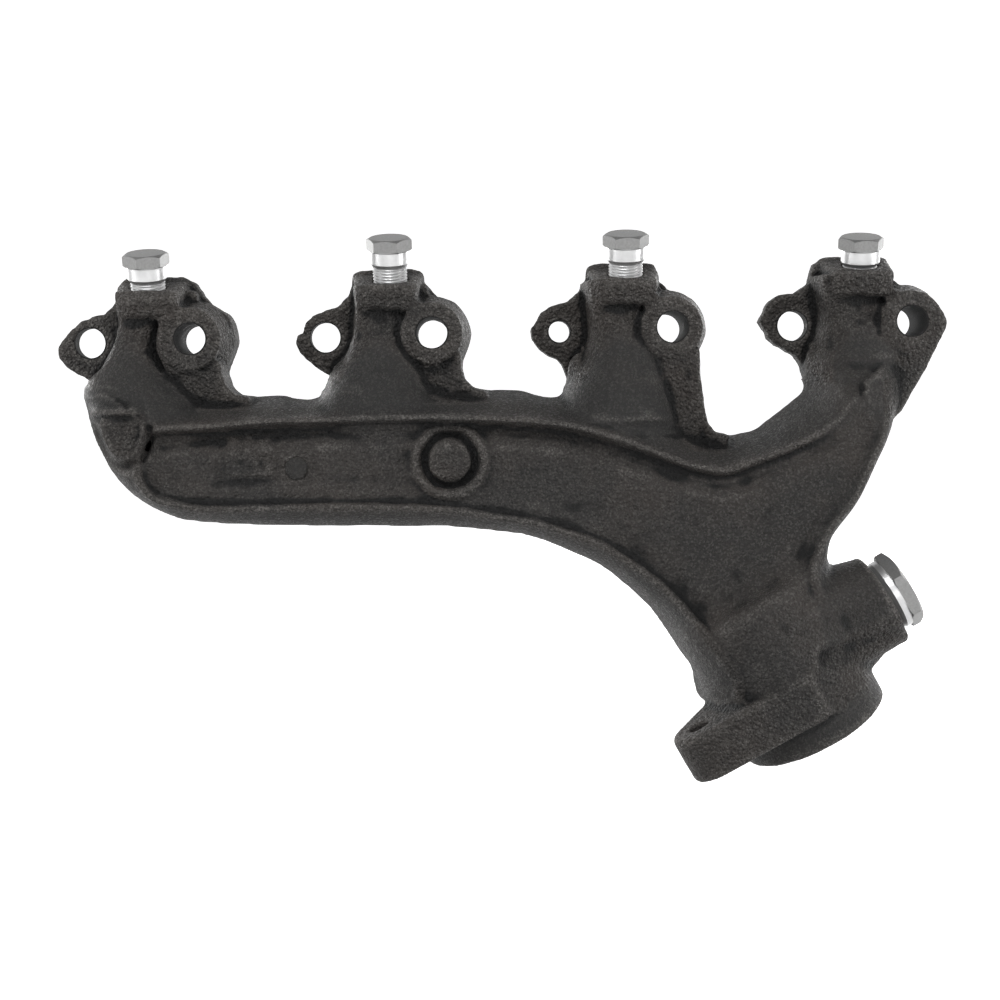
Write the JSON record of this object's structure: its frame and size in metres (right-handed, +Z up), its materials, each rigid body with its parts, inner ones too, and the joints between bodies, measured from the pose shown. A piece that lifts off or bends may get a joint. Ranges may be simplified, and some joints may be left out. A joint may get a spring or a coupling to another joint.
{
  "type": "exhaust manifold",
  "caption": "Cast-iron exhaust manifold for one bank of a V8 engine: log with short port runners, bolt bosses, air-injection plugs and an angled outlet flange.",
  "frame": {"origin": "middle of the line of head bolts, on the machined head face", "axes": "+X along the bank towards the outlet, +Y out of the head face into the cylinder head, +Z up"},
  "size_m": [0.4686, 0.0896, 0.2833],
  "materials": {
    "cast_iron": "as-cast, sand textured",
    "core_slug": "as-cast, slightly rusty",
    "plug_steel": "zinc-plated matt head, turned bright collar and thread"
  },
  "bodies": {
    "casting": {"head_flange_1": "cast_iron", "head_flange_2": "cast_iron", "head_flange_3": "cast_iron", "head_flange_4": "cast_iron", "runner_1": "cast_iron", "runner_2": "cast_iron", "runner_3": "cast_iron", "runner_4": "cast_iron", "air_boss_1": "cast_iron", "air_boss_2": "cast_iron", "air_boss_3": "cast_iron", "air_boss_4": "cast_iron", "log_body": "cast_iron", "log_bend": "cast_iron", "collector": "cast_iron", "outlet_flange": "cast_iron", "large_plug_boss": "cast_iron", "round_pad": "cast_iron", "square_pad": "cast_iron", "end_pad": "cast_iron", "core_plug": "core_slug"},
    "air_plug_1": {"air_plug_1": "plug_steel"},
    "air_plug_2": {"air_plug_2": "plug_steel"},
    "air_plug_3": {"air_plug_3": "plug_steel"},
    "air_plug_4": {"air_plug_4": "plug_steel"},
    "large_plug": {"large_plug": "plug_steel"}
  },
  "joints": [
    {"name": "air_plug_1_travel", "type": "slide", "parent": "casting", "child": "air_plug_1", "axis": [0, -0.2924, 0.9563], "range_m": [-0.0034, 0.0155]},
    {"name": "air_plug_2_travel", "type": "slide", "parent": "casting", "child": "air_plug_2", "axis": [0, -0.2924, 0.9563], "range_m": [-0.0069, 0.012]},
    {"name": "air_plug_3_travel", "type": "slide", "parent": "casting", "child": "air_plug_3", "axis": [0, -0.2924, 0.9563], "range_m": [-0.0061, 0.0128]},
    {"name": "air_plug_4_travel", "type": "slide", "parent": "casting", "child": "air_plug_4", "axis": [0, -0.2924, 0.9563], "range_m": [0, 0.0189]},
    {"name": "large_plug_travel", "type": "slide", "parent": "casting", "child": "large_plug", "axis": [0.8746, 0, 0.4848], "range_m": [0, 0.02]}
  ]
}
